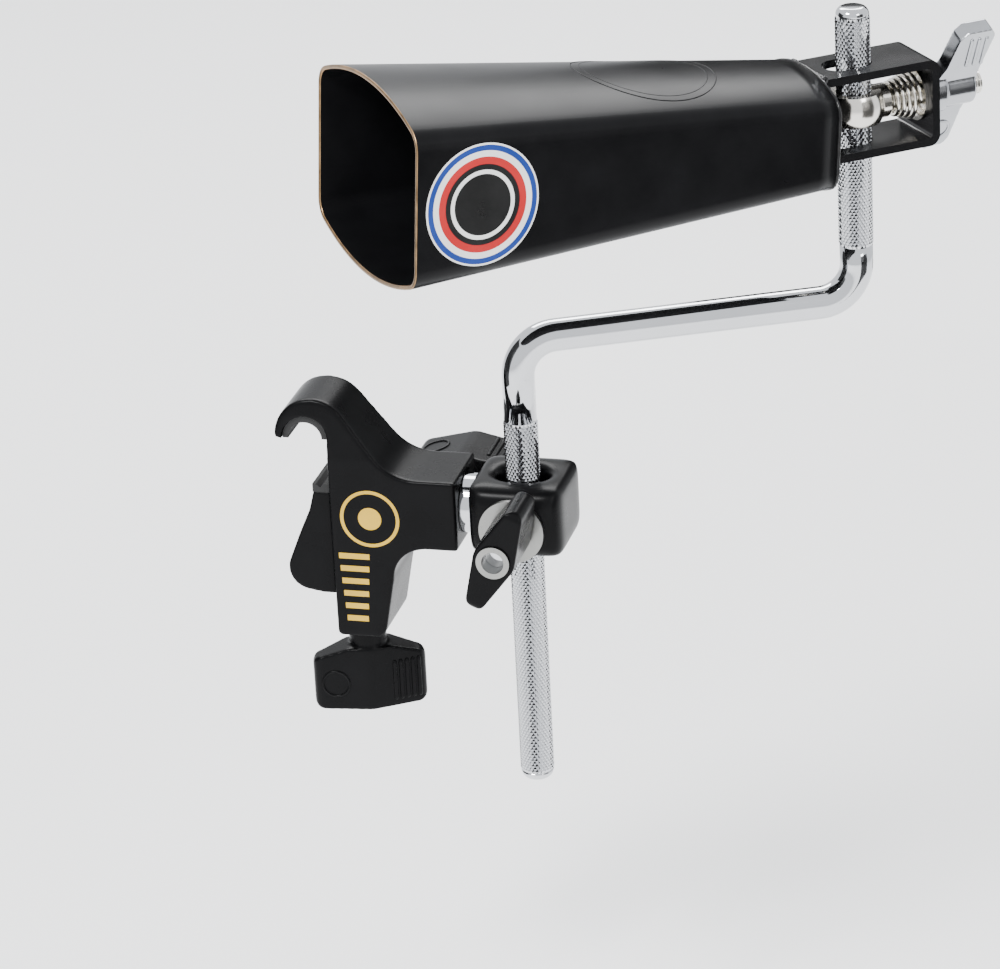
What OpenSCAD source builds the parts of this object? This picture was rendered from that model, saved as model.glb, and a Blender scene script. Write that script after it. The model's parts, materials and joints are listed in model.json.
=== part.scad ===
// Cowbell on a bent rod, held by a screw clamp that grips the hoop of a drum.
// The origin is in the middle of the clamp's jaw gap, on the face that the hoop bears against.
// +X points from the drum outwards along the clamp's arm, +Z up.

/* [Bell] */
// Length of the bell from its mouth to its closed end
bell_len = 168; // [150:1:185]
// Width of the mouth
mouth_w = 89; // [80:1:96]
// Height of the flat sides at the mouth
mouth_side = 52; // [44:1:56]
// Rise of the arched top and bottom at the mouth
mouth_arch = 9.3; // [7:0.1:12]
// Width of the closed end
crown_w = 57; // [52:1:68]
// Height of the flat sides at the closed end
crown_side = 29; // [27:1:33]
// Rise of the arched top and bottom at the closed end
crown_arch = 7.2; // [6:0.1:10]
// Radius of the corners at the mouth
mouth_r = 8; // [5:0.5:10]
// Radius of the corners at the closed end
crown_r = 7; // [5:0.5:9]
// How far the closed end's middle sits below the eye bolt
bell_drop = 3.4; // [0:0.1:5]
// Thickness of the steel sheet
sheet_t = 1.5; // [1.2:0.1:2]
// How far the mouth is tipped up from the bracket, in degrees
bell_tip = 4; // [0:0.1:6]
// Direction of the bell about its rod, in degrees from +X
bell_dir = 38; // [25:1:60]

/* [Bracket] */
// Width of the bracket's strip
bracket_w = 25; // [22:1:28]
// Outside height of the bracket
bracket_h = 32; // [30:1:34]
// Length of the bracket from the closed end to its outer face
bracket_len = 47.5; // [44:0.5:52]
// Thickness of the bracket's strip
bracket_t = 3; // [2.5:0.5:3]
// Distance from the rod's axis to the bell's closed end
crown_gap = 19.5; // [17:0.5:21]

/* [Rod] */
// Diameter of the knurled ends
rod_d = 12.7; // [12.5:0.1:12.7]
// Diameter of the smooth middle
rod_smooth_d = 12; // [11.6:0.1:12.2]
// Distance between the two upright parts
rod_reach = 126.3; // [115:0.1:150]
// Direction of the middle part, in degrees from +X
rod_dir = 26; // [15:1:40]
// Lower end of the rod, from the arm's axis
rod_low = -110; // [-130:1:-90]
// Height of the middle part above the arm's axis
rod_mid = 65; // [60:1:75]
// Upper end of the rod
rod_top = 175.5; // [170:0.5:185]
// Height of the bell's eye bolt
eye_z = 138.6; // [136:0.1:144]
// Radius of each bend, on the rod's centre line
bend_r = 14; // [12:0.5:16]

/* [Clamp] */
// Thickness of the clamp's body from side to side
body_t = 30; // [28:1:32]
// Distance from the hoop's face to the rod's axis
rod_x = 69.5; // [69:0.5:72]
// Distance from the hoop's face to the end of the arm
arm_len = 47.5; // [46:0.5:48]
// Height of the arm
arm_h = 27; // [26:0.5:28]
// Lowest point of the body, below the arm's axis
body_low = -50; // [-54:1:-50]
// Middle of the jaw gap, above the arm's axis
gap_mid = 21; // [20:0.5:22]

/* [Hidden] */
$fn = 64;
gap = 0.3; // clearance between pieces that slide past each other
fit = 0.08; // radial clearance between a thread and its nut
contact = 0.05; // gap between pieces that bear on each other

// Hook
hook_c = [-5.5, 28.2];
hook_r = 14.3;
hook_w = 25; // width at the top of the hook
throat_r = 8.5;
throat_c = [-throat_r, 27];
heel_c = [33, arm_h / 2 + 19.5];
heel_r = 19.5;
elbow_r = 13;
elbow_c = [35.5, -arm_h / 2 - elbow_r];
pad_t = 2.2;
pad_w = 24;

// Jaw and its screw
screw_x = 6.7;
screw_r = 4;
jaw_w = 24;
tongue_w = 17.4;
tongue_z = [-22, -4];
tongue_x = 15;
jaw_top = 6;
slot_z = [-37, 16];
slot_x = 16;
bush_r = 5.4;
bush_len = 12;
clip_t = 1.2;
clip_z = -16;
neck_r = 3;

// T handle
handle_r = 21;
handle_len = 25;
hub_r = 7.8;
neck_r2 = 7;
tip_r = 3.8;
tip_drop = 3.5; // how far the wings' tips sit below the hub's shoulders
round_r = 3;
neck_long = 8;
neck_short = 1;
jaw_handle_turn = 20;
wing_tilt = 65; // the front handle's angle from +X
bolt_drop = 1.5; // how far the rod's eye bolt sits below the arm's axis
insert_r = 5.2;

// Rod clamp
block_x = 35;
block_y = 38;
block_z = 27;
block_r = 6;
grip_r = rod_d / 2 - 0.05; // the stretches of rod that the clamp and the bell hold
stud_r = 8;
collar_r = 11;
lock_x = 39.5;
groove_r = 6.5;
eye_bore = rod_d / 2 + 0.03;
eye_r = 10.5;
eye_h = 10;
washer_r = 12;
washer_t = 1.8;
rod_slot_r = 7;
rod_slot_shift = 2.8;

// Bell's eye bolt, spring and wing nut
ball_r = 11.2;
ball_h = 11;
boss_r = 6.2;
boss_x = 13;
shank_r = 4;
shank_end = 50;
wall_in = bracket_len - crown_gap - bracket_t;
wall_out = bracket_len - crown_gap;
wing_up = 28;
wing_low = 26;
wing_turn = 25;
nut_len = 17;
decal_r = 21.5;
decal_t = 0.3;
decal_from_mouth = 25;

// ---- helpers -----------------------------------------------------------------------------------

// Points of an arc about c from angle a to angle b
function arc(c, r, a, b, n = 16) = [for (i = [0:n]) c + r * [cos(a + (b - a) * i / n), sin(a + (b - a) * i / n)]];

// A plate in the XZ plane, t thick and centred on y = 0
module upright(t) {
    rotate([90, 0, 0]) linear_extrude(t, center = true) children();
}

// A rectangle with round corners, centred
module round_rect(w, h, r) {
    square([w - 2 * r, h], center = true);
    square([w, h - 2 * r], center = true);
    for (x = [-1, 1], y = [-1, 1]) translate([x * (w / 2 - r), y * (h / 2 - r)]) circle(r);
}

// A slot with round ends along X, centred
module slot(shift, r) {
    square([2 * shift, 2 * r], center = true);
    for (x = [-1, 1]) translate([x * shift, 0]) circle(r);
}

// A cylinder along +X
module along_x(r, x0, x1) {
    translate([x0, 0, 0]) rotate([0, 90, 0]) cylinder(r = r, h = x1 - x0);
}

// Plan of a T handle: a round hub between two wings that thin towards their round tips
module handle_plan() {
    d = handle_r - tip_r;
    a = asin((hub_r - tip_r) / d);
    circle(hub_r);
    for (k = [-1, 1]) {
        translate([k * d, 0]) circle(tip_r);
        polygon([[0, 0], hub_r * [k * sin(a), cos(a)], [k * d, 0] + tip_r * [k * sin(a), cos(a)],
            [k * d, 0] + tip_r * [k * sin(a), -cos(a)], hub_r * [k * sin(a), -cos(a)]]);
    }
}

// T handle: its seat is at z = 0, its hub points up +Z and its wings lie along X
module t_handle(neck, bore_r, bore_len) {
    top = neck + handle_len;
    low = neck + tip_drop + round_r;
    tip = handle_r - round_r;
    difference() {
        union() {
            cylinder(r = neck_r2, h = neck + tip_drop);
            intersection() {
                linear_extrude(top) handle_plan();
                upright(3 * hub_r) polygon(concat(
                    arc([tip, low], round_r, -90, 0, 8),
                    arc([tip, top - round_r], round_r, 0, 90, 8),
                    arc([-tip, top - round_r], round_r, 90, 180, 8),
                    arc([-tip, low], round_r, 180, 270, 8),
                    [[-hub_r, neck], [hub_r, neck]]
                ));
            }
        }
        translate([0, 0, -1]) cylinder(r = bore_r, h = bore_len + 1);
    }
}

// Ring of an eye bolt about Z, with its shank along +X
module eye_ring(outer, height) {
    intersection() {
        sphere(outer);
        cube([3 * outer, 3 * outer, height], center = true);
    }
}

// ---- clamp -------------------------------------------------------------------------------------

function body_outline() =
    let (
        d = heel_c - hook_c,
        lean = atan2(d[1], d[0]) + acos((hook_r + heel_r) / norm(d))
    )
    concat(
        arc(hook_c, hook_r, 182, lean, 24),
        arc(heel_c, heel_r, 180 + lean, 270, 12),
        [[arm_len, arm_h / 2], [arm_len, -arm_h / 2]],
        arc(elbow_c, elbow_r, 90, 180, 12),
        [[18.5, body_low + 2.5], [16, body_low], [1, body_low], [0, body_low + 1]],
        arc(throat_c, throat_r, 0, 180, 20)
    );

module claw_body() {
    color([0.06, 0.06, 0.06])
        difference() {
            intersection() {
                upright(body_t) polygon(body_outline());
                // the hook narrows towards its top
                rotate([90, 0, 90]) linear_extrude(4 * arm_len, center = true) polygon([
                    [-body_t / 2, body_low], [body_t / 2, body_low], [body_t / 2, 20],
                    [hook_w / 2, hook_c[1] + hook_r], [-hook_w / 2, hook_c[1] + hook_r], [-body_t / 2, 20]
                ]);
            }
            // guide slot of the jaw's tongue
            translate([-1, -tongue_w / 2 - gap, slot_z[0]])
                cube([slot_x + 1, tongue_w + 2 * gap, slot_z[1] - slot_z[0]]);
            translate([screw_x, 0, body_low - 1]) cylinder(r = bush_r, h = bush_len + 1);
            translate([screw_x, 0, body_low]) cylinder(r = screw_r + gap, h = slot_z[0] - body_low + 1);
            // seat of the swivel stud, and the lock's cross bore
            along_x(stud_r + contact, 26, arm_len + 1);
            translate([lock_x, 0, 0]) rotate([-90, 0, 0]) cylinder(r = screw_r + fit, h = body_t);
        }
}

module hook_pad() {
    color([0.12, 0.12, 0.12])
        upright(pad_w) difference() {
            translate(throat_c) circle(throat_r - contact);
            translate(throat_c) circle(throat_r - pad_t);
            translate([-40, -40 + throat_c[1]]) square([80, 40]);
        }
}

module spindle_bush() {
    color([0.7, 0.7, 0.68])
        translate([screw_x, 0, body_low]) difference() {
            cylinder(r = bush_r, h = bush_len);
            translate([0, 0, -1]) cylinder(r = screw_r + fit, h = bush_len + 2);
        }
}

function jaw_outline() = concat(
    [[-gap, jaw_top], [-7, jaw_top], [-9, -1.6], [-13.3, -11.2]],
    arc([-9.7, -25.2], 8.6, 158, 258, 14),
    [[-6, -34.5], [-gap, -34.5]]
);

module clamp_jaw() {
    color([0.05, 0.05, 0.05])
        difference() {
            union() {
                upright(jaw_w) polygon(jaw_outline());
                translate([-1, -tongue_w / 2, tongue_z[0]])
                    cube([tongue_x + 1, tongue_w, tongue_z[1] - tongue_z[0]]);
            }
            translate([screw_x, 0, tongue_z[0] - 1]) cylinder(r = screw_r + fit, h = 12);
            translate([screw_x - 5.5, -tongue_w, clip_z - contact])
                cube([20, 2 * tongue_w, clip_t + 2 * contact]);
        }
}

module jaw_pad() {
    color([0.12, 0.12, 0.12])
        translate([0, 0, jaw_top]) upright(pad_w)
            polygon([[-gap, 0], [-7, 0], [-7, 3.2], [-5.6, 3.2], [-4, 1.8], [-2.4, 3.2], [-gap, 3.2]]);
}

module jaw_clip() {
    color([0.75, 0.75, 0.73])
        translate([screw_x, 0, clip_z]) difference() {
            intersection() {
                cylinder(r = 7.5, h = clip_t);
                translate([-5.4, -8, 0]) cube([11, 16, clip_t]);
            }
            translate([0, 0, -1]) cylinder(r = neck_r + contact, h = clip_t + 2);
            translate([0, -neck_r - contact, -1]) cube([10, 2 * (neck_r + contact), clip_t + 2]);
        }
}

module jaw_spindle() {
    color([0.75, 0.75, 0.73])
        translate([screw_x, 0, 0]) difference() {
            translate([0, 0, body_low - 20]) cylinder(r = screw_r, h = tongue_z[0] + 10 - body_low + 20);
            translate([0, 0, clip_z - contact - 0.1]) difference() {
                cylinder(r = screw_r + 1, h = clip_t + 2 * contact + 0.2);
                cylinder(r = neck_r, h = 3, center = false);
            }
        }
}

module jaw_handle() {
    color([0.06, 0.06, 0.06])
        translate([screw_x, 0, body_low - 1]) rotate([0, 0, jaw_handle_turn])
            mirror([0, 0, 1]) t_handle(neck_long, screw_r + contact, 20);
}

// ---- swivel and rod clamp ----------------------------------------------------------------------

module clamp_stud() {
    color([0.72, 0.72, 0.7])
        difference() {
            union() {
                along_x(stud_r, 27, arm_len + 1);
                along_x(collar_r, arm_len + gap, rod_x - block_x / 2 - contact);
                along_x(5, arm_len, rod_x - block_x / 2 + 5);
            }
            // groove that the lock's shoe runs in
            difference() {
                along_x(stud_r + 1, lock_x - screw_r + 0.2, lock_x + screw_r - 0.2);
                along_x(groove_r, lock_x - screw_r - 1, lock_x + screw_r + 1);
            }
        }
}

module rod_clamp_block() {
    color([0.06, 0.06, 0.06])
        translate([rod_x, 0, 0]) difference() {
            intersection() {
                rotate([90, 0, 90]) linear_extrude(block_x, center = true) round_rect(block_y, block_z, block_r);
                linear_extrude(block_z, center = true) round_rect(block_x, block_y, block_r);
            }
            linear_extrude(2 * block_z, center = true) slot(rod_slot_shift, rod_slot_r);
            // pocket for the eye, open at the back
            translate([-eye_r - 0.6, -10, -bolt_drop - eye_h / 2 - gap])
                cube([2 * eye_r + 1.2, block_y, eye_h + 2 * gap]);
            translate([0, 1, -bolt_drop]) rotate([90, 0, 0]) cylinder(r = shank_r + gap, h = block_y);
            along_x(5 + contact, -block_x / 2 - 1, -block_x / 2 + 5 + contact);
        }
}

module rod_eye_bolt() {
    color([0.75, 0.75, 0.73])
        translate([rod_x, 0, -bolt_drop]) difference() {
            union() {
                cylinder(r = eye_r - 0.6, h = eye_h, center = true);
                rotate([90, 0, 0]) cylinder(r = shank_r, h = block_y / 2 + 23);
            }
            cylinder(r = eye_bore, h = 2 * eye_h, center = true);
        }
}

module lock_shoe() {
    color([0.75, 0.6, 0.3])
        translate([lock_x, groove_r + contact, 0]) rotate([-90, 0, 0]) cylinder(r = screw_r - gap, h = 3);
}

module lock_bolt() {
    color([0.75, 0.75, 0.73])
        translate([lock_x, groove_r + 3 + 2 * contact, 0]) rotate([-90, 0, 0]) cylinder(r = screw_r, h = 25);
}

module lock_handle() {
    color([0.06, 0.06, 0.06])
        translate([lock_x, body_t / 2 + gap, 0]) rotate([-90, 0, 0]) t_handle(neck_long, screw_r + contact, 20);
}

module clamp_washer() {
    color([0.35, 0.35, 0.35])
        translate([rod_x, -block_y / 2 - contact, -bolt_drop]) rotate([90, 0, 0]) difference() {
            cylinder(r = washer_r, h = washer_t);
            translate([0, 0, -1]) cylinder(r = shank_r + gap, h = washer_t + 2);
        }
}

// Places a piece on the front handle's axis, with z = 0 on the washer
module at_front_handle() {
    translate([rod_x, -block_y / 2 - 2 * contact - washer_t, -bolt_drop]) rotate([90, 0, 0]) children();
}

module wing_handle() {
    color([0.06, 0.06, 0.06])
        at_front_handle() rotate([0, 0, wing_tilt])
            t_handle(neck_short, insert_r + contact, neck_short + handle_len);
}

module wing_insert() {
    top = neck_short + handle_len;
    color([0.75, 0.75, 0.73])
        at_front_handle() difference() {
            union() {
                cylinder(r = insert_r, h = top + 0.1);
                translate([0, 0, top + contact]) cylinder(r = insert_r + 0.9, h = 0.8);
            }
            translate([0, 0, -1]) cylinder(r = shank_r + fit, h = top + 3);
        }
}

// ---- rod ---------------------------------------------------------------------------------------

// One end of the rod from its bend to its tip, pointing up +Z: the held stretch and the free one
module knurled_end(grip, len) {
    bevel = 2.2;
    runout = 1;
    cylinder(r = grip_r, h = grip);
    translate([0, 0, grip]) cylinder(r1 = grip_r, r2 = rod_d / 2, h = runout);
    translate([0, 0, grip + runout]) cylinder(r = rod_d / 2, h = len - bevel - grip - runout);
    translate([0, 0, len - bevel]) cylinder(r1 = rod_d / 2, r2 = rod_d / 2 - bevel, h = bevel);
}

module z_rod() {
    knurl_low = 34; // top of the lower knurled stretch
    knurl_up = 86; // bottom of the upper one
    smooth_r = rod_smooth_d / 2;
    color([0.8, 0.8, 0.8])
        translate([rod_x, 0, 0]) rotate([0, 0, rod_dir]) {
            translate([0, 0, knurl_low]) mirror([0, 0, 1])
                knurled_end(knurl_low + block_z / 2 + 3, knurl_low - rod_low);
            translate([0, 0, knurl_low]) cylinder(r = smooth_r, h = rod_mid - bend_r - knurl_low);
            translate([bend_r, 0, rod_mid - bend_r]) rotate([90, 0, 0])
                rotate_extrude(angle = 90, start = 90) translate([bend_r, 0]) circle(smooth_r);
            translate([0, 0, rod_mid]) along_x(smooth_r, bend_r, rod_reach - bend_r);
            translate([rod_reach - bend_r, 0, rod_mid + bend_r]) rotate([90, 0, 0])
                rotate_extrude(angle = 90, start = 270) translate([bend_r, 0]) circle(smooth_r);
            translate([rod_reach, 0, rod_mid + bend_r])
                cylinder(r = smooth_r, h = knurl_up - rod_mid - bend_r);
            translate([rod_reach, 0, knurl_up])
                knurled_end(eye_z + bracket_h / 2 + 1.5 - knurl_up, rod_top - knurl_up);
        }
}

// ---- bell --------------------------------------------------------------------------------------

// Places a piece on the eye bolt's axis: X along the bell towards the wing nut, the rod on Z
module at_bell() {
    translate([rod_x + rod_reach * cos(rod_dir), rod_reach * sin(rod_dir), eye_z])
        rotate([0, 0, bell_dir]) children();
}

// Tips the bell's own pieces, with x = 0 on the closed end's outer face
module at_crown() {
    at_bell() translate([-crown_gap, 0, -bell_drop]) rotate([0, bell_tip, 0]) children();
}

// Outline of the bell in the YZ plane, k inside its outer face: flat sides, arched top and bottom, round corners
function bell_outline(w, side, rise, corner, k, n = 14) =
    let (
        r = (w * w / 4 + rise * rise) / (2 * rise),
        arch = [0, side / 2 + rise - r],
        fillet_x = w / 2 - corner,
        fillet = [fillet_x, arch[1] + sqrt(pow(r - corner, 2) - fillet_x * fillet_x)],
        start = atan2(fillet[1] - arch[1], fillet_x),
        top = concat(
            arc(fillet, corner - k, 0, start, 5),
            [for (i = [1:n - 1]) let (a = start + (180 - 2 * start) * i / n) arch + (r - k) * [cos(a), sin(a)]],
            arc([-fillet[0], fillet[1]], corner - k, 180 - start, 180, 5)
        )
    )
    concat(top, [for (p = top) -p]);

function mouth_outline(k) = bell_outline(mouth_w, mouth_side, mouth_arch, mouth_r, k);

function crown_outline(k) = bell_outline(crown_w, crown_side, crown_arch, crown_r, k);

// Solid between two outlines with the same number of points, at x0 and x1
module loft(first, last, x0, x1) {
    n = len(first);
    points = concat([for (p = first) [x0, p[0], p[1]]], [for (p = last) [x1, p[0], p[1]]]);
    walls = [for (i = [0:n - 1]) let (j = (i + 1) % n) each [[i, n + i, n + j], [i, n + j, j]]];
    polyhedron(points, concat(walls, [[for (i = [0:n - 1]) i], [for (i = [n - 1:-1:0]) n + i]]));
}

module bell_shell() {
    color([0.07, 0.07, 0.08])
        at_crown() difference() {
            loft(mouth_outline(0), crown_outline(0), -bell_len, -2);
            loft(mouth_outline(sheet_t), crown_outline(sheet_t), -bell_len - 0.01, -2 + 0.01);
        }
}

module bell_end_cap() {
    color([0.07, 0.07, 0.08])
        at_crown() translate([-2, 0, 0]) rotate([90, 0, 90]) linear_extrude(2) polygon(crown_outline(0));
}

module bell_bracket() {
    color([0.06, 0.06, 0.06])
        at_bell() difference() {
            translate([-crown_gap - 2, 0, 0]) upright(bracket_w) difference() {
                translate([(bracket_len + 2) / 2, 0]) round_rect(bracket_len + 2, bracket_h, 4);
                translate([(bracket_len + 2) / 2 - bracket_t, 0])
                    round_rect(bracket_len + 2, bracket_h - 2 * bracket_t, 1.5);
                translate([-1, -bracket_h]) square([5, 2 * bracket_h]);
            }
            // the closed end's tipped face
            translate([-crown_gap, 0, -bell_drop]) rotate([0, bell_tip, 0])
                translate([-20, -bracket_w, -bracket_h]) cube([20, 2 * bracket_w, 2 * bracket_h]);
            // slots for the rod, and the eye bolt's hole
            translate([-2.6, 0, 0]) linear_extrude(2 * bracket_h, center = true) slot(2.6, rod_d / 2 + gap);
            along_x(shank_r + gap, 0, bracket_len);
        }
}

module bell_eye_bolt() {
    color([0.78, 0.77, 0.74])
        at_bell() difference() {
            union() {
                eye_ring(ball_r, ball_h);
                along_x(boss_r, 7, boss_x - 0.8);
                translate([boss_x - 0.8, 0, 0]) rotate([0, 90, 0])
                    cylinder(r1 = boss_r, r2 = boss_r - 0.8, h = 0.8);
                along_x(shank_r, 7, shank_end);
            }
            cylinder(r = eye_bore, h = 2 * ball_h, center = true);
        }
}

// Closed tube of wire along a list of points, with square-on rings of n sides
module wire(path, r, n = 8) {
    count = len(path);
    function along(i) = let (v = path[min(i + 1, count - 1)] - path[max(i - 1, 0)]) v / norm(v);
    function side(i) = let (v = cross(along(i), [1, 0, 0])) v / norm(v);
    rings = [for (i = [0:count - 1])
        let (u = side(i), w = cross(along(i), u))
        [for (k = [0:n - 1]) path[i] + r * (u * cos(360 * k / n) + w * sin(360 * k / n))]];
    points = [for (ring = rings) each ring];
    walls = [for (i = [0:count - 2], k = [0:n - 1]) let (m = (k + 1) % n)
        [i * n + k, i * n + m, (i + 1) * n + m, (i + 1) * n + k]];
    first = [for (k = [n - 1:-1:0]) k];
    last = [for (k = [0:n - 1]) (count - 1) * n + k];
    polyhedron(points, concat(walls, [first, last]));
}

// Conical compression spring between the eye and the bracket's wall
function spring_path(x0, x1, r0, r1, turns, steps) = [for (i = [0:steps])
    let (s = i / steps, a = 360 * turns * s, r = r0 + (r1 - r0) * s)
    [x0 + (x1 - x0) * s, r * cos(a), r * sin(a)]];

module eye_spring() {
    wire_r = 0.8;
    color([0.8, 0.79, 0.76])
        at_bell() wire(spring_path(boss_x + wire_r + 0.1, wall_in - 1.1 - wire_r - 0.1, 5.4, 8.2, 3.5, 77), wire_r);
}

module spring_washer() {
    color([0.75, 0.75, 0.72])
        at_bell() difference() {
            along_x(9.5, wall_in - 1.05, wall_in - contact);
            along_x(shank_r + gap, wall_in - 3, wall_in + 1);
        }
}

module bell_decal() {
    // the flat side leans in with the bell's taper
    lean = atan2((mouth_w - crown_w) / 2, bell_len - 2);
    x = -bell_len + decal_from_mouth;
    y = -mouth_w / 2 + decal_from_mouth * tan(lean);
    color([0.85, 0.85, 0.85])
        at_crown() translate([x, y - contact, 0]) rotate([90, 0, lean]) cylinder(r = decal_r, h = decal_t);
}

module nut_washer() {
    color([0.75, 0.75, 0.72])
        at_bell() difference() {
            along_x(8.5, wall_out + contact, wall_out + 1.2);
            along_x(shank_r + gap, wall_out - 1, wall_out + 3);
        }
}

// Outline of the wing nut's blade in its own plane: x along the bolt, y along the wings
function blade() = [
    [1, -8], [0.5, -wing_low + 2], [3, -wing_low], [10.5, -wing_low + 1], [12.5, -wing_low + 3.5],
    [14.5, -9], [17.5, 0], [18, 10], [21, wing_up - 3], [19, wing_up], [10, wing_up],
    [7, wing_up - 3], [4, 12], [1, 7]
];

module bell_wing_nut() {
    color([0.8, 0.8, 0.8])
        at_bell() translate([wall_out + 1.2 + contact, 0, 0]) rotate([wing_turn, 0, 0]) difference() {
            union() {
                along_x(8, 0, 5);
                along_x(6.8, 5, nut_len);
                upright(6.5) polygon(blade());
            }
            along_x(shank_r + fit, -1, nut_len + 8);
        }
}

// ---- nodes -------------------------------------------------------------------------------------

// Moves a piece from the arm's axis to the row's frame
module row() {
    translate([0, 0, -gap_mid]) children();
}

row() claw_body();
row() hook_pad();
row() spindle_bush();
row() clamp_jaw();
row() jaw_pad();
row() jaw_clip();
row() jaw_spindle();
row() jaw_handle();
row() clamp_stud();
row() rod_clamp_block();
row() rod_eye_bolt();
row() lock_shoe();
row() lock_bolt();
row() lock_handle();
row() clamp_washer();
row() wing_handle();
row() wing_insert();
row() z_rod();
row() bell_shell();
row() bell_end_cap();
row() bell_bracket();
row() bell_eye_bolt();
row() eye_spring();
row() spring_washer();
row() bell_decal();
row() nut_washer();
row() bell_wing_nut();
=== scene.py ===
import bpy, json, math
from mathutils import Matrix, Vector


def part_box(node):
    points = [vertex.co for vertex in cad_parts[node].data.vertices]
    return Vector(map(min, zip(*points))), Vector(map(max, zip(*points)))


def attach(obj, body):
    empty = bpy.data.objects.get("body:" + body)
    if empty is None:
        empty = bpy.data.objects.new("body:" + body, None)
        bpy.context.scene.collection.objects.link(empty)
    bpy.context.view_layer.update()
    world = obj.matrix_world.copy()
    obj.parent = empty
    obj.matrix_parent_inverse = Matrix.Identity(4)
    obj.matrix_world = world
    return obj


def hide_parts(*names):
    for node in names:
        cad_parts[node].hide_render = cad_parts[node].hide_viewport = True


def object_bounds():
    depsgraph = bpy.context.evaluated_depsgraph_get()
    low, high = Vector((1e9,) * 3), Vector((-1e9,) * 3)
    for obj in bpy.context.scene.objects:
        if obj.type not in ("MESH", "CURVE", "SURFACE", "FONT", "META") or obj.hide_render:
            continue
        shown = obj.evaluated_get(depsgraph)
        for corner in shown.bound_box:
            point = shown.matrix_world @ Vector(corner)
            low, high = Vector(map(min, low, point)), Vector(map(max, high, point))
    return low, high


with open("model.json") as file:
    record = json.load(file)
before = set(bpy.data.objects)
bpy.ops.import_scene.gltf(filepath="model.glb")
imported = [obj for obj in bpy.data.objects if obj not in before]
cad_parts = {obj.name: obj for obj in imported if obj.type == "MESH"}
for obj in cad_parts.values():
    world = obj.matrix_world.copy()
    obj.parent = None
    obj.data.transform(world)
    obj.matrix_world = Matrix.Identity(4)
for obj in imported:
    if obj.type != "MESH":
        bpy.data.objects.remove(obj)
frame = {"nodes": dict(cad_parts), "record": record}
cad_lo, cad_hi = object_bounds()
nodes = frame["nodes"]
record = frame["record"]
joints = {j["name"]: j for j in record["behaviour"]["joints"]}
mounts = {m["name"]: m for m in record["mounts"]}

MM = 0.001
TURN = 2 * math.pi
RIGHT_ANGLE = math.pi / 2

# ---- sizes, in millimetres ----------------------------------------------------------------------
# rod: knurled ends and a smooth cranked middle
ROD_R = 6.35
SMOOTH_R = 6.0
KNURL_DEPTH = 0.5
KNURL_STARTS = 26
KNURL_ROW = 1.15
KNURL_SIDES = 2 * KNURL_STARTS
DOME = 3.2
DOME_INSET = 2.6
DOME_ROWS = 7
BEND_R = 14.0
BEND_STEPS = 16
KNURL_LOW_TOP = 34.0
KNURL_UP_BOTTOM = 86.0
ROD_MID = 65.0
GAP_MID = 21.0  # heights on the rod and the claw are measured from this far below the frame's origin

# bell: a tapered tube between two outlines, tipped by BELL_TIP on its bracket
CROWN_GAP = 19.5
BELL_DROP = 3.4
BELL_TIP = math.radians(4)
BELL_LEN = 168.0
SHEET_START = 2.0
SHEET_T = 1.5
SHEET_ROWS = 24
MOUTH = dict(w=89.0, side=52.0, rise=9.3, corner=8.0)
CROWN = dict(w=57.0, side=29.0, rise=7.2, corner=7.0)
SIDE_STEPS, CORNER_STEPS, ARCH_STEPS = 4, 8, 14
LIP = 0.4
LIP_STEPS = ((0.1, 0.15), (0, 0.5), (0, 1.0), (0.1, 1.35))  # back from the mouth, and in from the face
CAP_BULGE = 1.6
CAP_DRAWN_Y, CAP_DRAWN_Z = 0.055, 0.1
CAP_STEPS = 6
RING_AT = 64.5
RING_SIZES = ((25.5, 0.32), (22.5, 0.22))
RING_SINK = 0.12
RING_STEPS = 120
SEAM_AT, SEAM_RIPPLE = 1.3, 0.15
SEAM_R = 0.55
WELD_R, WELD_RIPPLE = 1.25, 0.28
WELD_SINK = 0.2
WELD_STEPS = 36
BRACKET_H = 32.0
BRACKET_W = 25.0
DECAL_R = 21.5
DECAL_T = 0.25
DECAL_SINK = 0.05
DECAL_FROM_MOUTH = 25.0

# bolts' threads, the spring, and the bell's wing nut
THREAD_R = 3.95
THREAD_WIRE = 0.3
SPRING_WIRE = 0.75
SPRING_TURNS = 4.5
SPRING_FROM, SPRING_TO = 14.0, 22.8
SPRING_R_FROM, SPRING_R_TO = 5.6, 8.3
NUT_FROM_ROD = 29.25
NUT_TURN = math.radians(25)
WING_HALF_T = 3.2
NUT_RIDGES = 3
NUT_RIDGE_X, NUT_RIDGE_Z, NUT_RIDGE_STEP = 11.6, 18.5, 3.0
NUT_ROUND_X, NUT_ROUND_Z = 7.4, -17

# T handles: a hub and two wings that narrow from HUB_R to TIP_R at HANDLE_R
HANDLE_R, HUB_R, TIP_R = 21.0, 7.8, 3.8
GRIP_LOW, GRIP_HIGH = 14, 30.5
JAW_HANDLE_TURN = math.radians(20)
RIDGES = 5
RIDGE_FROM_HUB, RIDGE_STEP, RIDGE_SINK = 7.4, 2.35, 0.1
ROUND_FROM_HUB, ROUND_SINK = 11.6, 0.05

# the clamp's printed marks
PRINT_T = 0.12
PRINT_RING_AT = (15, -2.2)
PRINT_BARS_AT = (8.2, -17.5)
PRINT_BARS = 6
BAR_STEP = 5.0
BAR_HALF_H = 1.1
BAR_HALF_W, BAR_NARROWS = 5.8, 0.35

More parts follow.
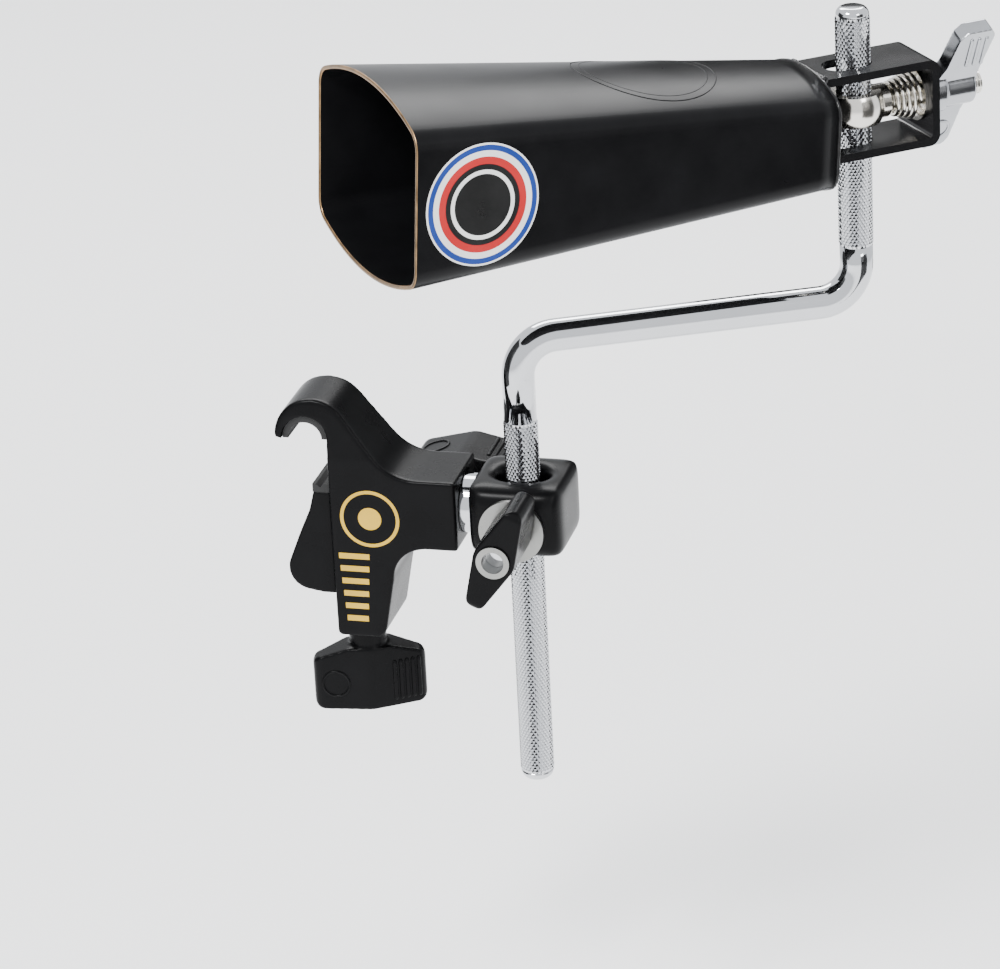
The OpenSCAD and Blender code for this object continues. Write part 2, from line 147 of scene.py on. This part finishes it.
# ---- places -------------------------------------------------------------------------------------
rod_low = Vector(mounts["rod_lower_end"]["pos_m"]) / MM
rod_up = Vector(joints["bell_turn"]["pos_m"]) / MM
crank = Vector((rod_up.x - rod_low.x, rod_up.y - rod_low.y, 0))
bell_axis = Vector(joints["nut_washer_slide"]["axis"])
AT_ROD = (Matrix.Translation((rod_low.x, 0, -GAP_MID))
          @ Matrix.Rotation(math.atan2(crank.y, crank.x), 4, "Z"))
AT_BELL = Matrix.Translation(rod_up) @ Matrix.Rotation(math.atan2(bell_axis.y, bell_axis.x), 4, "Z")
AT_CROWN = (AT_BELL @ Matrix.Translation((-CROWN_GAP, 0, -BELL_DROP))
            @ Matrix.Rotation(BELL_TIP, 4, "Y"))
AT_ARM = Matrix.Translation((0, 0, -GAP_MID))


# ---- materials ----------------------------------------------------------------------------------
def link(tree, source, output, target, input_name):
    tree.links.new(source.outputs[output], target.inputs[input_name])


def material(name, colour, roughness, metallic=0.0, mottle=0.12, grain=1500, bump=0.02, patch=60,
             spread=0.08, specular=0.5, streak=(1, 1, 1)):
    """A finish with fine grain in its relief, and slow patches in its colour and gloss.

    mottle and spread are how far the patches change colour and roughness; grain and patch are the
    two noises' scales; bump is the relief's depth in millimetres; streak stretches both noises."""
    mat = bpy.data.materials.new(name)
    mat.use_nodes = True
    tree = mat.node_tree
    shader = tree.nodes["Principled BSDF"]
    shader.inputs["Metallic"].default_value = metallic
    shader.inputs["Specular IOR Level"].default_value = specular
    place = tree.nodes.new("ShaderNodeTexCoord")
    stretch = tree.nodes.new("ShaderNodeMapping")
    stretch.inputs["Scale"].default_value = streak
    link(tree, place, "Object", stretch, "Vector")
    slow = tree.nodes.new("ShaderNodeTexNoise")
    slow.inputs["Scale"].default_value = patch
    slow.inputs["Detail"].default_value = 4
    fine = tree.nodes.new("ShaderNodeTexNoise")
    fine.inputs["Scale"].default_value = grain
    fine.inputs["Detail"].default_value = 2
    for noise in (slow, fine):
        link(tree, stretch, "Vector", noise, "Vector")
    ramp = tree.nodes.new("ShaderNodeValToRGB")
    dark, pale = ramp.color_ramp.elements
    dark.position = 0.3
    pale.position = 0.7
    dark.color = [c * (1 - mottle) for c in colour] + [1]
    pale.color = [min(1, c * (1 + mottle)) for c in colour] + [1]
    link(tree, slow, "Fac", ramp, "Fac")
    link(tree, ramp, "Color", shader, "Base Color")
    gloss = tree.nodes.new("ShaderNodeMapRange")
    gloss.inputs["To Min"].default_value = max(0.02, roughness - spread)
    gloss.inputs["To Max"].default_value = roughness + spread
    link(tree, slow, "Fac", gloss, "Value")
    link(tree, gloss, "Result", shader, "Roughness")
    relief = tree.nodes.new("ShaderNodeBump")
    relief.inputs["Strength"].default_value = 0.5
    relief.inputs["Distance"].default_value = bump * MM
    link(tree, fine, "Fac", relief, "Height")
    link(tree, relief, "Normal", shader, "Normal")
    return mat


POWDER = material("powder_coat", (0.004, 0.004, 0.0045), 0.3,
                  mottle=0.2, grain=1800, bump=0.018, spread=0.05, specular=0.09)
GLOSS = material("gloss_black", (0.005, 0.005, 0.0055), 0.2,
                 mottle=0.2, grain=900, bump=0.02, spread=0.05, specular=0.3)
MOULDED = material("moulded_black", (0.003, 0.003, 0.0033), 0.28,
                   mottle=0.2, grain=2500, bump=0.03, spread=0.06, specular=0.07)
CAST = material("cast_chrome", (0.42, 0.43, 0.45), 0.17, 1.0,
                mottle=0.06, grain=500, bump=0.01, spread=0.05)
CHROME = material("chrome_plate", (0.58, 0.59, 0.61), 0.07, 1.0,
                  mottle=0.02, grain=500, bump=0.003, spread=0.03)
NICKEL = material("nickel_plate", (0.76, 0.73, 0.67), 0.16, 1.0,
                  mottle=0.05, grain=700, bump=0.006, spread=0.05)
ZINC = material("zinc_plate", (0.26, 0.26, 0.25), 0.28, 1.0, mottle=0.1, grain=900, bump=0.01)
BRASS = material("brass", (0.72, 0.5, 0.2), 0.25, 1.0, mottle=0.08, streak=(1, 30, 1), bump=0.01)
RUBBER = material("rubber", (0.008, 0.008, 0.008), 0.75, mottle=0.2, grain=1200, bump=0.06)
RIM = material("bare_rim", (0.26, 0.16, 0.08), 0.35, 0.9,
               mottle=0.45, grain=900, patch=160, bump=0.04, spread=0.15)
GOLD = material("gold_print", (0.55, 0.34, 0.02), 0.4, 0.2, bump=0.01)
WHITE = material("print_white", (0.7, 0.7, 0.69), 0.3, mottle=0.03, bump=0.01)
RED = material("print_red", (0.4, 0.006, 0.008), 0.3, mottle=0.06, bump=0.01)
BLUE = material("print_blue", (0.004, 0.03, 0.2), 0.3, mottle=0.06, bump=0.01)
BLACK = material("print_black", (0.004, 0.004, 0.004), 0.3, mottle=0.1, bump=0.01)
FLOOR = material("floor", (0.93, 0.93, 0.93), 0.7, mottle=0.01, grain=200, patch=3)


# ---- making pieces ------------------------------------------------------------------------------
def piece(name, points, faces, place, body, mat, smooth=True):
    """A mesh from points in millimetres in place's frame, riding on a body if it has one."""
    mesh = bpy.data.meshes.new(name)
    mesh.from_pydata([(place @ Vector(p)) * MM for p in points], [], faces)
    mesh.validate()
    mesh.materials.append(mat)
    obj = bpy.data.objects.new(name, mesh)
    bpy.context.scene.collection.objects.link(obj)
    mesh.polygons.foreach_set("use_smooth", [smooth] * len(mesh.polygons))
    if body:
        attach(obj, body)
    return obj


def flat_end(obj):
    """Shades an object's last face flat, so that it reads as a plain end."""
    obj.data.polygons[len(obj.data.polygons) - 1].use_smooth = False


def skin(rings, closed=False, ends=True):
    """Points and faces of a tube through rings that have the same number of points."""
    n = len(rings[0])
    points = [p for ring in rings for p in ring]
    count = len(rings)
    faces = []
    for i in range(count if closed else count - 1):
        after = (i + 1) % count
        for k in range(n):
            beside = (k + 1) % n
            faces.append((i * n + k, i * n + beside, after * n + beside, after * n + k))
    if ends and not closed:
        faces.append(tuple(range(n - 1, -1, -1)))
        faces.append(tuple((count - 1) * n + k for k in range(n)))
    return points, faces


def tube(path, radius, sides=12, closed=False):
    """Round wire along a path; radius is a number or one for each point."""
    count = len(path)
    path = [Vector(p) for p in path]
    across = None
    rings = []
    for i, p in enumerate(path):
        ahead = path[(i + 1) % count] if closed else path[min(i + 1, count - 1)]
        behind = path[i - 1] if closed else path[max(i - 1, 0)]
        along = (ahead - behind).normalized()
        if across is None:
            across = along.orthogonal().normalized()
        across = (across - along * across.dot(along)).normalized()
        other = along.cross(across)
        r = radius[i] if isinstance(radius, (list, tuple)) else radius
        ring = []
        for k in range(sides):
            angle = TURN * k / sides
            ring.append(p + across * (r * math.cos(angle)) + other * (r * math.sin(angle)))
        rings.append(ring)
    return skin(rings, closed)


def circle(r, centre=(0, 0, 0), n=72):
    """A circle in the XY plane."""
    return [(centre[0] + r * math.cos(TURN * k / n), centre[1] + r * math.sin(TURN * k / n), centre[2])
            for k in range(n)]


def helix(r0, r1, x0, x1, turns, steps=24):
    """A helix about X, from x0 to x1, whose radius goes from r0 to r1."""
    count = int(turns * steps)
    points = []
    for i in range(count + 1):
        r = r0 + (r1 - r0) * i / count
        angle = TURN * turns * i / count
        points.append((x0 + (x1 - x0) * i / count, r * math.cos(angle), r * math.sin(angle)))
    return points


def band(r_in, r_out, height, n=96):
    """A flat ring, or a disc if r_in is 0, of that height above z = 0, with its edges."""
    outer = [circle(r_out, (0, 0, 0), n), circle(r_out, (0, 0, height), n)]
    if not r_in:
        return skin(outer)
    rings = [circle(r_in, (0, 0, 0), n)] + outer + [circle(r_in, (0, 0, height), n)]
    points, faces = skin(rings, closed=True)
    return points, [tuple(reversed(f)) for f in faces]


def bar(length, width, height, n=8):
    """A ridge along Y with a round top and round ends, its seat at z = 0."""
    rings = []
    for i in range(2 * n + 1):
        y = math.sin((-1 + i / n) * RIGHT_ANGLE) * length / 2
        into_end = max(0, abs(y) - (length / 2 - width / 2))
        swell = math.sqrt(max(0.02, 1 - into_end ** 2 / (width / 2) ** 2))
        rings.append([(width / 2 * swell * math.cos(math.pi * k / n), y,
                       height * swell * math.sin(math.pi * k / n)) for k in range(n + 1)])
    return skin(rings)


def slab(half_x, half_y, height):
    """A rectangle's thin block above z = 0."""
    corners = ((-half_x, -half_y), (half_x, -half_y), (half_x, half_y), (-half_x, half_y))
    points = [(x, y, z) for z in (0, height) for x, y in corners]
    faces = [(3, 2, 1, 0), (4, 5, 6, 7)]
    faces += [(i, (i + 1) % 4, 4 + (i + 1) % 4, 4 + i) for i in range(4)]
    return points, faces


def near_or_far(side):
    return "near" if side < 0 else "far"


# ---- camera, lights and floor -------------------------------------------------------------------
TURN_LEFT = math.radians(15.5)
LOOK_DOWN = math.radians(23.53)
ROLL = math.radians(-2.99)
CAMERA_AT = Vector((0.4611, -1.4440, 0.6393))
SENSOR, LENS = 36, 162
FLOOR_DROP = 0.12
FLOOR_HALF = 6.0
CARD_HALF_W, CARD_TOP, CARD_GAP = 260, 420, 2


def camera():
    side = Vector((math.cos(TURN_LEFT), math.sin(TURN_LEFT), 0))
    ahead = Vector((-math.sin(TURN_LEFT), math.cos(TURN_LEFT), 0))
    z = Vector((0, 0, 1))
    forward = ahead * math.cos(LOOK_DOWN) - z * math.sin(LOOK_DOWN)
    up = ahead * math.sin(LOOK_DOWN) + z * math.cos(LOOK_DOWN)
    right = side * math.cos(ROLL) + up * math.sin(ROLL)
    above = up * math.cos(ROLL) - side * math.sin(ROLL)
    facing = Matrix((right, above, -forward)).transposed().to_4x4()
    data = bpy.data.cameras.new("camera")
    data.sensor_width = SENSOR
    data.lens = LENS
    data.clip_start, data.clip_end = 0.1, 20
    obj = bpy.data.objects.new("camera", data)
    obj.matrix_world = Matrix.Translation(CAMERA_AT) @ facing
    bpy.context.scene.collection.objects.link(obj)
    bpy.context.scene.camera = obj


def light(name, at, size, power, aim=(0.12, 0.03, 0.02)):
    data = bpy.data.lights.new(name, "AREA")
    data.shape = "RECTANGLE"
    data.size, data.size_y = size
    data.energy = power
    obj = bpy.data.objects.new(name, data)
    obj.location = at
    obj.rotation_euler = (Vector(aim) - Vector(at)).to_track_quat("-Z", "Y").to_euler()
    bpy.context.scene.collection.objects.link(obj)


def studio():
    world = bpy.data.worlds.new("studio")
    bpy.context.scene.world = world
    world.use_nodes = True
    sky = world.node_tree.nodes["Background"]
    sky.inputs["Color"].default_value = (0.95, 0.97, 1.0, 1)
    sky.inputs["Strength"].default_value = 1.5
    light("key", (-0.5, -1.1, 1.5), (0.6, 0.5), 50)
    light("fill", (1.5, -0.9, 0.7), (0.5, 1.2), 16)
    light("back", (-0.3, 1.4, 1.3), (1.6, 0.6), 35)
    floor_z = cad_lo.z - FLOOR_DROP
    corners = ((-1, -1), (1, -1), (1, 1), (-1, 1))
    points = [(FLOOR_HALF * x, FLOOR_HALF * y, floor_z) for x, y in corners]
    floor = piece("floor", points, [(0, 1, 2, 3)], Matrix.Scale(1 / MM, 4), None, FLOOR)
    # dark cards beside the object, which only the polished metal mirrors
    low = floor_z / MM + CARD_GAP
    points = [(0, -CARD_HALF_W, low), (0, CARD_HALF_W, low),
              (0, CARD_HALF_W, CARD_TOP), (0, -CARD_HALF_W, CARD_TOP)]
    for k, (x, y, turn) in enumerate(((-0.42, -0.1, 10), (0.72, -0.2, -20), (0.2, 0.75, 85))):
        at = Matrix.Translation(Vector((x, y, 0)) / MM) @ Matrix.Rotation(math.radians(turn), 4, "Z")
        card = piece(f"card_{k}", points, [(0, 1, 2, 3)], at, None, BLACK)
        card.visible_camera = False
        card.visible_shadow = False
        card.visible_diffuse = False


# ---- rod ----------------------------------------------------------------------------------------
def knurled(x, z0, z1):
    """Rings of a diamond knurl from z0 to z1, about x: peaks and groove crossings alternate."""
    rows = int(abs(z1 - z0) / KNURL_ROW / 2) * 2
    rings = []
    for i in range(rows + 1):
        z = z0 + (z1 - z0) * i / rows
        ring = []
        for k in range(KNURL_SIDES):
            grooved = (i + k) % 2 or i in (0, rows)
            r = ROD_R - (KNURL_DEPTH if grooved else 0)
            angle = TURN * k / KNURL_SIDES
            ring.append((r * math.cos(angle) + x, r * math.sin(angle), z))
        rings.append(ring)
    return rings


def knurl_faces(rings):
    """Two triangles a cell, split along the groove."""
    n = KNURL_SIDES
    faces = []
    for i in range(len(rings) - 1):
        for k in range(n):
            a = i * n + k
            b = i * n + (k + 1) % n
            c, d = b + n, a + n
            if (i + k) % 2:
                faces += [(a, b, c), (a, c, d)]
            else:
                faces += [(a, b, d), (b, c, d)]
    return faces


def dome(x, z, up):
    """Rings of a knurled end's round tip, from z upwards if up is 1 and downwards if it is -1."""
    rings = []
    for i in range(DOME_ROWS):
        t = RIGHT_ANGLE * i / (DOME_ROWS - 1)
        r = ROD_R - KNURL_DEPTH * 0.6 - DOME_INSET * (1 - math.cos(t))
        rings.append(circle(r, (x, 0, z + up * DOME * math.sin(t)), KNURL_SIDES))
    return rings


def rod_middle(reach):
    """Rings of the smooth middle: up, round two bends, and up again at reach."""
    path = [(0, KNURL_LOW_TOP, RIGHT_ANGLE)]
    bend = [RIGHT_ANGLE * i / BEND_STEPS for i in range(BEND_STEPS + 1)]
    path += [(BEND_R - BEND_R * math.cos(t), ROD_MID - BEND_R + BEND_R * math.sin(t), RIGHT_ANGLE - t)
             for t in bend]
    path += [(reach - BEND_R + BEND_R * math.sin(t), ROD_MID + BEND_R - BEND_R * math.cos(t), t)
             for t in bend]
    path.append((reach, KNURL_UP_BOTTOM, RIGHT_ANGLE))
    rings = []
    for x, z, slope in path:
        ring = []
        for k in range(KNURL_SIDES):
            angle = TURN * k / KNURL_SIDES
            ring.append((x - SMOOTH_R * math.sin(slope) * math.cos(angle), SMOOTH_R * math.sin(angle),
                         z + SMOOTH_R * math.cos(slope) * math.cos(angle)))
        rings.append(ring)
    return rings


def rod():
    reach = crank.length
    bottom, top = (corner.z / MM + GAP_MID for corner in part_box("z_rod"))
    points, faces = skin(rod_middle(reach))
    middle = piece("rod_smooth", points, faces, AT_ROD, "rod", CHROME)
    for name, x, z_in, z_tip, up in (("rod_knurl_low", 0, KNURL_LOW_TOP, bottom, -1),
                                     ("rod_knurl_up", reach, KNURL_UP_BOTTOM, top, 1)):
        shoulder = z_tip - up * DOME
        rings = knurled(x, shoulder, z_in)
        points = [p for ring in rings for p in ring]
        piece(name, points, knurl_faces(rings), AT_ROD, "rod", CHROME, smooth=False)
        points, faces = skin(dome(x, shoulder, up))
        piece(name + "_tip", points, faces, AT_ROD, "rod", CHROME)
    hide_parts("z_rod")


# ---- bell ---------------------------------------------------------------------------------------
def arch_radius(w, rise):
    """Radius of the arc that rises by rise over a width of w."""
    return (w * w / 4 + rise * rise) / (2 * rise)


def quarter(w, side, rise, corner, k):
    """Quarter outline of the bell, k inside its outer face, from the flat side to the top's middle."""
    r = arch_radius(w, rise)
    arch = side / 2 + rise - r
    fx = w / 2 - corner
    fy = arch + math.sqrt((r - corner) ** 2 - fx * fx)
    start = math.atan2(fy - arch, fx)
    points = [(w / 2 - k, fy * i / SIDE_STEPS) for i in range(SIDE_STEPS)]
    for i in range(CORNER_STEPS):
        t = start * i / CORNER_STEPS
        points.append((fx + (corner - k) * math.cos(t), fy + (corner - k) * math.sin(t)))
    for i in range(ARCH_STEPS):
        t = start + (RIGHT_ANGLE - start) * i / ARCH_STEPS
        points.append(((r - k) * math.cos(t), arch + (r - k) * math.sin(t)))
    return points, (0, side / 2 + rise - k)


def outline(spec, k):
    """The whole outline: the quarter, its mirror across the top, and both turned over below."""
    right, top = quarter(k=k, **spec)
    left = [(-x, y) for x, y in reversed(right)]
    half = right + [top] + left[:-1]
    return half + [(-x, -y) for x, y in half]


def taper(s):
    """How far towards the mouth s is, from 0 at the closed end's sheet to 1 at the mouth."""
    return (s - SHEET_START) / (BELL_LEN - SHEET_START)


def bell_ring(s, k):
    """The bell's outline at s from its closed end, k inside its outer face."""
    t = taper(s)
    mouth, crown = outline(MOUTH, k), outline(CROWN, k)
    return [(-s, c[0] + (m[0] - c[0]) * t, c[1] + (m[1] - c[1]) * t) for m, c in zip(mouth, crown)]


def bell_top(s, y, lift):
    """The point lift above the bell's top, at s from its closed end and y across."""
    t = taper(s)
    w, side, rise = (CROWN[key] + (MOUTH[key] - CROWN[key]) * t for key in ("w", "side", "rise"))
    r = arch_radius(w, rise)
    return (-s, y, side / 2 + rise - r + math.sqrt(r * r - y * y) + lift)


def bell_sheet():
    """The folded sheet, inside and out, and the bare rounded rim of its mouth."""
    run = BELL_LEN - SHEET_START - LIP
    outer = [bell_ring(SHEET_START + run * i / SHEET_ROWS, 0) for i in range(SHEET_ROWS + 1)]
    inner = [bell_ring(BELL_LEN - LIP - run * i / SHEET_ROWS, SHEET_T) for i in range(SHEET_ROWS + 1)]
    points, faces = skin(outer, ends=False)
    inner_points, inner_faces = skin(inner, ends=False)
    n = len(outer[0])
    first = len(points)
    last = first + SHEET_ROWS * n
    points += inner_points
    faces += [tuple(i + first for i in face) for face in inner_faces]
    faces += [(k, last + k, last + (k + 1) % n, (k + 1) % n) for k in range(n)]
    faces.append(tuple(last + k for k in range(n - 1, -1, -1)))
    shell = piece("bell_sheet", points, faces, AT_CROWN, "bell", POWDER)
    flat_end(shell)
    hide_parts("bell_shell")
    lip = [bell_ring(BELL_LEN - back, k) for back, k in LIP_STEPS]
    points, faces = skin([outer[-1]] + lip + [inner[0]], ends=False)
    piece("mouth_rim", points, faces, AT_CROWN, "bell", RIM)


def end_cap():
    """The closed end: the outline at the sheet's start, drawn in as it bulges outwards."""
    seat = bell_ring(SHEET_START, 0)
    rings = [seat]
    for i in range(CAP_STEPS + 1):
        t = RIGHT_ANGLE * i / CAP_STEPS
        drawn_y = 1 - CAP_DRAWN_Y * (1 - math.cos(t))
        drawn_z = 1 - CAP_DRAWN_Z * (1 - math.cos(t))
        x = -CAP_BULGE + CAP_BULGE * math.sin(t)
        rings.append([(x, y * drawn_y, z * drawn_z) for _, y, z in seat])
    points, faces = skin(rings)
    cap = piece("end_cap", points, faces, AT_CROWN, "bell", POWDER)
    flat_end(cap)
    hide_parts("bell_end_cap")


def pressed_rings():
    """Two plain rings pressed into the bell's top, with nothing inside them."""
    for k, (r, wire) in enumerate(RING_SIZES):
        path = []
        for i in range(RING_STEPS):
            angle = TURN * i / RING_STEPS
            path.append(bell_top(RING_AT + r * math.cos(angle), r * 0.98 * math.sin(angle), -RING_SINK))
        points, faces = tube(path, wire, 8, closed=True)
        piece(f"pressed_ring_{k}", points, faces, AT_CROWN, "bell", POWDER)


def welds():
    """Weld beads round the cap's edge, and along the bracket's two flanges."""
    edge = [(-SEAM_AT + SEAM_RIPPLE * math.sin(i * 2.4), y * 0.993, z * 0.99)
            for i, (_, y, z) in enumerate(bell_ring(SHEET_START, 0))]
    points, faces = tube(edge, SEAM_R, 8, closed=True)
    piece("cap_seam", points, faces, AT_CROWN, "bell", GLOSS)
    flange = BRACKET_H / 2 - WELD_SINK
    for k, z in enumerate((flange, -flange)):
        x = -CROWN_GAP + (z + BELL_DROP) * math.tan(BELL_TIP) + 0.6
        path = [(x, -BRACKET_W / 2 + BRACKET_W * i / WELD_STEPS, z) for i in range(WELD_STEPS + 1)]
        thick = [WELD_R + WELD_RIPPLE * math.sin(i * 2.1) for i in range(WELD_STEPS + 1)]
        points, faces = tube(path, thick)
        piece(f"bracket_weld_{k}", points, faces, AT_BELL, "bell", GLOSS)


def decal():
    """A round sticker of plain printed rings on the bell's near side."""
    lean = math.atan2((MOUTH["w"] - CROWN["w"]) / 2, BELL_LEN - SHEET_START)
    face_y = -MOUTH["w"] / 2 + DECAL_FROM_MOUTH * math.tan(lean) - DECAL_SINK
    at = AT_CROWN @ Matrix.Translation((-BELL_LEN + DECAL_FROM_MOUTH, face_y, 0))
    at = at @ Matrix.Rotation(lean, 4, "Z") @ Matrix.Rotation(RIGHT_ANGLE, 4, "X")
    inner_edge = 0
    for name, outer_edge, mat in (("disc", 0.5, BLACK), ("inner_line", 0.57, WHITE), ("collar", 0.66, BLACK),
                                  ("red_band", 0.78, RED), ("white_band", 0.88, WHITE),
                                  ("blue_band", 0.97, BLUE), ("edge", 1.0, WHITE)):
        points, faces = band(inner_edge * DECAL_R, outer_edge * DECAL_R, DECAL_T)
        piece("decal_" + name, points, faces, at, "bell", mat, smooth=False)
        inner_edge = outer_edge
    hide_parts("bell_decal")


# ---- bell's mount -------------------------------------------------------------------------------
def thread(x0, x1, turns):
    """A bolt's thread from x0 to x1, as a fine wire wound about X."""
    return helix(THREAD_R, THREAD_R, x0, x1, turns, steps=16)


def eye_spring():
    """The coil between the bell's eye bolt and its bracket, and the eye bolt's thread."""
    coil = helix(SPRING_R_FROM, SPRING_R_TO, SPRING_FROM, SPRING_TO, SPRING_TURNS)
    points, faces = tube(coil, SPRING_WIRE)
    spring = piece("spring_coil", points, faces, AT_BELL, "bell", NICKEL)
    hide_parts("eye_spring")
    points, faces = tube(thread(13.6, 49.5, 28.7), THREAD_WIRE, 5)
    piece("eye_thread", points, faces, AT_BELL, "bell", NICKEL)


def wing_nut_marks():
    """Ridges on both faces of the wing nut's upper wing, and a blank ring on the lower one's."""
    nut_at = AT_BELL @ Matrix.Translation((NUT_FROM_ROD, 0, 0)) @ Matrix.Rotation(NUT_TURN, 4, "X")
    for side in (-1, 1):
        outwards = Matrix.Rotation(-side * RIGHT_ANGLE, 4, "X")
        for k in range(NUT_RIDGES):
            x = NUT_RIDGE_X + NUT_RIDGE_STEP * k
            at = nut_at @ Matrix.Translation((x, side * WING_HALF_T, NUT_RIDGE_Z)) @ outwards
            points, faces = bar(13, 1.5, 0.7)
            name = f"wing_ridge_{near_or_far(side)}_{k}"
            piece(name, points, faces, at, "bell_nut", CAST)
        at = nut_at @ Matrix.Translation((NUT_ROUND_X, side * WING_HALF_T, NUT_ROUND_Z)) @ outwards
        points, faces = band(3.3, 4.2, 0.35)
        piece(f"wing_round_{near_or_far(side)}", points, faces, at, "bell_nut", CAST)


# ---- clamp --------------------------------------------------------------------------------------
def handle_marks(name, at, body):
    """Ridges on one wing and a blank ring on the other, on both faces of a T handle.

    The handle's hub is along +Z of the place at."""
    middle = Vector((0, 0, (GRIP_LOW + GRIP_HIGH) / 2))
    lean = math.asin((HUB_R - TIP_R) / (HANDLE_R - TIP_R))
    for side in (-1, 1):
        for wing in (-1, 1):
            # the face's own frame: X along the wing, Y along the hub, Z out of the face
            out = Vector((math.sin(lean) * wing, side * math.cos(lean), 0))
            along = Vector((math.cos(lean) * wing, -side * math.sin(lean), 0))
            hub = Vector((0, 0, 1))
            if along.cross(hub).dot(out) < 0:
                hub = -hub
            face = Matrix((along, hub, out)).transposed().to_4x4()
            place = at @ Matrix.Translation(out * HUB_R + middle) @ face
            word = f"{name}_{'left' if wing < 0 else 'right'}_{near_or_far(side)}"
            if wing > 0:
                for k in range(RIDGES):
                    points, faces = bar(GRIP_HIGH - GRIP_LOW, 1.7, 0.75)
                    x = RIDGE_FROM_HUB + RIDGE_STEP * k
                    ridge_at = place @ Matrix.Translation((x, 0, -RIDGE_SINK))
                    piece(f"{word}_ridge_{k}", points, faces, ridge_at, body, MOULDED)
            else:
                points, faces = band(4.6, 5.4, 0.4)
                round_at = place @ Matrix.Translation((ROUND_FROM_HUB, 0, -ROUND_SINK))
                piece(word + "_round", points, faces, round_at, body, MOULDED)


def claw_print():
    """A plain printed ring and dot on the claw's near face, and a ladder of bars below them."""
    face_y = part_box("claw_body")[0].y / MM
    upright = Matrix.Rotation(RIGHT_ANGLE, 4, "X")
    ring_x, ring_z = PRINT_RING_AT
    at = AT_ARM @ Matrix.Translation((ring_x, face_y, ring_z)) @ upright
    for name, r_in, r_out in (("claw_ring", 9.9, 11.2), ("claw_dot", 0, 4.4)):
        points, faces = band(r_in, r_out, PRINT_T)
        piece(name, points, faces, at, "claw", GOLD, smooth=False)
    bar_x, bar_z = PRINT_BARS_AT
    for k in range(PRINT_BARS):
        at = AT_ARM @ Matrix.Translation((bar_x, face_y, bar_z - BAR_STEP * k)) @ upright
        points, faces = slab(BAR_HALF_W - BAR_NARROWS * k, BAR_HALF_H, PRINT_T)
        piece(f"claw_bar_{k}", points, faces, at, "claw", GOLD, smooth=False)


def screw_handles():
    """The marks on the jaw's handle, under the claw, and on the lock's, behind the arm."""
    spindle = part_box("jaw_spindle")
    spindle_x = (spindle[0].x + spindle[1].x) / 2 / MM
    jaw_at = (Matrix.Translation((spindle_x, 0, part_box("jaw_handle")[1].z / MM))
              @ Matrix.Rotation(JAW_HANDLE_TURN, 4, "Z") @ Matrix.Scale(-1, 4, (0, 0, 1)))
    handle_marks("jaw_handle", jaw_at, "jaw_screw")
    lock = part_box("lock_handle")
    lock_x = (lock[0].x + lock[1].x) / 2 / MM
    lock_at = (Matrix.Translation((lock_x, lock[0].y / MM, -GAP_MID))
               @ Matrix.Rotation(-RIGHT_ANGLE, 4, "X"))
    handle_marks("lock_handle", lock_at, "lock_screw")


def rod_bolt_thread():
    """The thread of the eye bolt that holds the rod, along the block's front."""
    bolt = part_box("rod_eye_bolt")
    at = Matrix.Translation((rod_low.x, 0, (bolt[0].z + bolt[1].z) / 2 / MM))
    path = [(y, z, x) for x, y, z in thread(21, 41.5, 16.4)]
    points, faces = tube(path, THREAD_WIRE, 5)
    piece("rod_eye_thread", points, faces, at @ Matrix.Rotation(RIGHT_ANGLE, 4, "X"), "swivel", NICKEL)


# ---- CAD nodes that show ------------------------------------------------------------------------
def finish_node(name, mat):
    """Gives a CAD node its finish, and returns the node."""
    obj = nodes[name]
    obj.data.materials.clear()
    obj.data.materials.append(mat)
    return obj


def dress(names, mat, width, segments=2):
    """Finishes CAD nodes, and bevels their edges by width in millimetres."""
    for name in names:
        obj = finish_node(name, mat)
        obj.data.polygons.foreach_set("use_smooth", [True] * len(obj.data.polygons))
        flat = obj.modifiers.new("planar", "DECIMATE")
        flat.decimate_type = "DISSOLVE"
        flat.angle_limit = math.radians(1.5)
        edges = obj.modifiers.new("edges", "BEVEL")
        edges.width = width * MM
        edges.segments = segments
        edges.limit_method = "ANGLE"
        edges.angle_limit = math.radians(35)
        shade = obj.modifiers.new("shade", "WEIGHTED_NORMAL")
        shade.weight = 90


def cast(names, mat, voxel, rounds):
    """Finishes CAD nodes, and rounds them all over, as moulded and cast pieces are.

    voxel is the remeshed grid's step in millimetres, and more rounds of smoothing round more."""
    for name in names:
        obj = finish_node(name, mat)
        remesh = obj.modifiers.new("voxels", "REMESH")
        remesh.mode = "VOXEL"
        remesh.voxel_size = voxel * MM
        remesh.use_smooth_shade = True
        relax = obj.modifiers.new("relax", "SMOOTH")
        relax.factor = 0.5
        relax.iterations = rounds


def cad_finishes():
    cast(["claw_body"], MOULDED, 0.55, 22)
    cast(["rod_clamp_block"], MOULDED, 0.8, 110)
    cast(["clamp_jaw"], MOULDED, 0.5, 22)
    cast(["jaw_handle", "lock_handle", "wing_handle"], MOULDED, 0.42, 24)
    cast(["bell_wing_nut"], CAST, 0.4, 12)
    dress(["hook_pad", "jaw_pad"], RUBBER, 0.5)
    dress(["spindle_bush", "jaw_clip", "lock_bolt"], ZINC, 0.15)
    dress(["jaw_spindle"], ZINC, 0.4)
    dress(["clamp_washer", "wing_insert"], ZINC, 0.4, 3)
    dress(["clamp_stud"], CHROME, 0.5, 3)
    dress(["rod_eye_bolt"], CHROME, 0.4, 3)
    dress(["lock_shoe"], BRASS, 0.2)
    dress(["bell_bracket"], GLOSS, 0.6, 3)
    dress(["bell_eye_bolt"], NICKEL, 1.2, 4)
    dress(["spring_washer", "nut_washer"], NICKEL, 0.3)


cad_finishes()
camera()
studio()
rod()
bell_sheet()
end_cap()
pressed_rings()
welds()
decal()
eye_spring()
wing_nut_marks()
claw_print()
screw_handles()
rod_bolt_thread()
